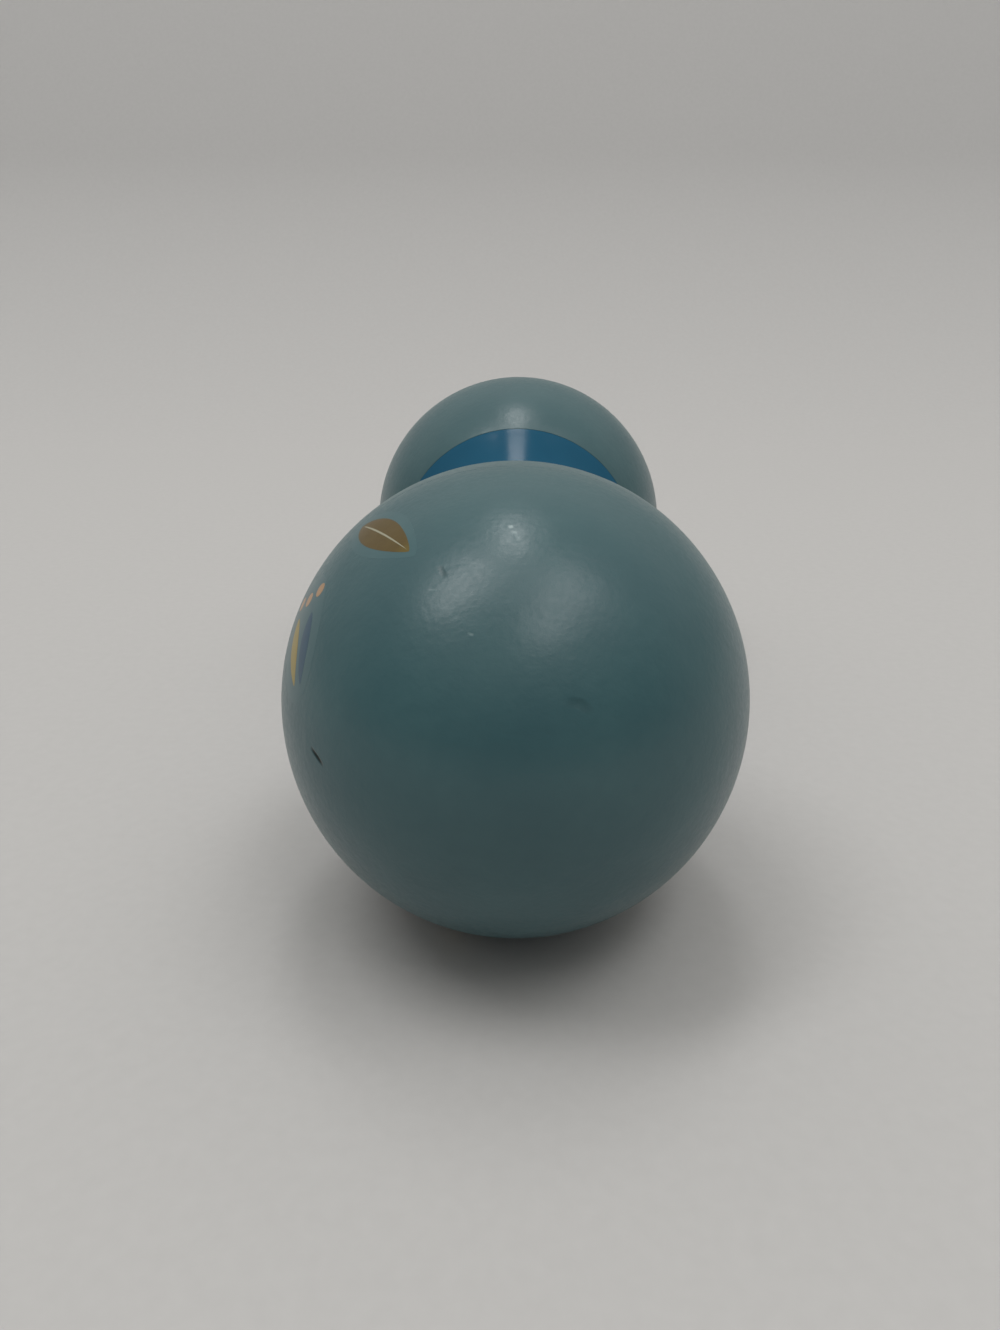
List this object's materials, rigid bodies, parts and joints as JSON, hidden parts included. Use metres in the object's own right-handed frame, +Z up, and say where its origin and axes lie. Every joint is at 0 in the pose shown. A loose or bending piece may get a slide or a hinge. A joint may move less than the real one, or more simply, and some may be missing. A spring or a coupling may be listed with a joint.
{
  "type": "wooden rattle",
  "caption": "Dumbbell-shaped wooden baby rattle: hollow oval heads on a waisted handle, with loose steel shot inside that sounds when shaken.",
  "frame": {"origin": "middle of the rattle on the surface that it lies on, under the middle of the handle", "axes": "+Y along the rattle's long axis from the front head to the rear head, +Z up, +X to the right as seen from the front head"},
  "size_m": [0.045, 0.12, 0.045],
  "materials": {
    "teal_paint": "satin",
    "blue_lacquer": "gloss",
    "bare_beech": "matte",
    "steel_shot": "bright"
  },
  "bodies": {
    "rattle": {"front_outer_cup": "teal_paint", "front_inner_cup": "teal_paint", "rear_outer_cup": "teal_paint", "rear_inner_cup": "teal_paint", "handle": "blue_lacquer", "core_dowel": "bare_beech"},
    "front_shot_1": {"front_shot_1": "steel_shot"},
    "front_shot_2": {"front_shot_2": "steel_shot"},
    "front_shot_3": {"front_shot_3": "steel_shot"},
    "front_shot_4": {"front_shot_4": "steel_shot"},
    "front_shot_5": {"front_shot_5": "steel_shot"},
    "front_shot_6": {"front_shot_6": "steel_shot"},
    "front_shot_7": {"front_shot_7": "steel_shot"},
    "front_shot_8": {"front_shot_8": "steel_shot"},
    "rear_shot_1": {"rear_shot_1": "steel_shot"},
    "rear_shot_2": {"rear_shot_2": "steel_shot"},
    "rear_shot_3": {"rear_shot_3": "steel_shot"},
    "rear_shot_4": {"rear_shot_4": "steel_shot"},
    "rear_shot_5": {"rear_shot_5": "steel_shot"},
    "rear_shot_6": {"rear_shot_6": "steel_shot"},
    "rear_shot_7": {"rear_shot_7": "steel_shot"},
    "rear_shot_8": {"rear_shot_8": "steel_shot"}
  },
  "joints": [
    {"name": "front_shot_1_roll", "type": "hinge", "parent": "rattle", "child": "front_shot_1", "pos_m": [0, -0.035, 0.0225], "axis": [0, -1, 0], "range_deg": [0, 155]},
    {"name": "front_shot_2_roll", "type": "hinge", "parent": "rattle", "child": "front_shot_2", "pos_m": [0, -0.035, 0.0225], "axis": [0, 1, 0], "range_deg": [0, 155]},
    {"name": "front_shot_3_roll", "type": "hinge", "parent": "rattle", "child": "front_shot_3", "pos_m": [0, -0.035, 0.0225], "axis": [0, -1, 0], "range_deg": [0, 155]},
    {"name": "front_shot_4_roll", "type": "hinge", "parent": "rattle", "child": "front_shot_4", "pos_m": [0, -0.035, 0.0225], "axis": [0, 1, 0], "range_deg": [0, 155]},
    {"name": "front_shot_5_roll", "type": "hinge", "parent": "rattle", "child": "front_shot_5", "pos_m": [0, -0.035, 0.0225], "axis": [0, -1, 0], "range_deg": [0, 155]},
    {"name": "front_shot_6_roll", "type": "hinge", "parent": "rattle", "child": "front_shot_6", "pos_m": [0, -0.035, 0.0225], "axis": [0, 1, 0], "range_deg": [0, 155]},
    {"name": "front_shot_7_roll", "type": "hinge", "parent": "rattle", "child": "front_shot_7", "pos_m": [0, -0.035, 0.0225], "axis": [0, -1, 0], "range_deg": [0, 155]},
    {"name": "front_shot_8_roll", "type": "hinge", "parent": "rattle", "child": "front_shot_8", "pos_m": [0, -0.035, 0.0225], "axis": [0, 1, 0], "range_deg": [0, 155]},
    {"name": "rear_shot_1_roll", "type": "hinge", "parent": "rattle", "child": "rear_shot_1", "pos_m": [0, 0.035, 0.0225], "axis": [0, 1, 0], "range_deg": [0, 155]},
    {"name": "rear_shot_2_roll", "type": "hinge", "parent": "rattle", "child": "rear_shot_2", "pos_m": [0, 0.035, 0.0225], "axis": [0, -1, 0], "range_deg": [0, 155]},
    {"name": "rear_shot_3_roll", "type": "hinge", "parent": "rattle", "child": "rear_shot_3", "pos_m": [0, 0.035, 0.0225], "axis": [0, 1, 0], "range_deg": [0, 155]},
    {"name": "rear_shot_4_roll", "type": "hinge", "parent": "rattle", "child": "rear_shot_4", "pos_m": [0, 0.035, 0.0225], "axis": [0, -1, 0], "range_deg": [0, 155]},
    {"name": "rear_shot_5_roll", "type": "hinge", "parent": "rattle", "child": "rear_shot_5", "pos_m": [0, 0.035, 0.0225], "axis": [0, 1, 0], "range_deg": [0, 155]},
    {"name": "rear_shot_6_roll", "type": "hinge", "parent": "rattle", "child": "rear_shot_6", "pos_m": [0, 0.035, 0.0225], "axis": [0, -1, 0], "range_deg": [0, 155]},
    {"name": "rear_shot_7_roll", "type": "hinge", "parent": "rattle", "child": "rear_shot_7", "pos_m": [0, 0.035, 0.0225], "axis": [0, 1, 0], "range_deg": [0, 155]},
    {"name": "rear_shot_8_roll", "type": "hinge", "parent": "rattle", "child": "rear_shot_8", "pos_m": [0, 0.035, 0.0225], "axis": [0, -1, 0], "range_deg": [0, 155]}
  ]
}
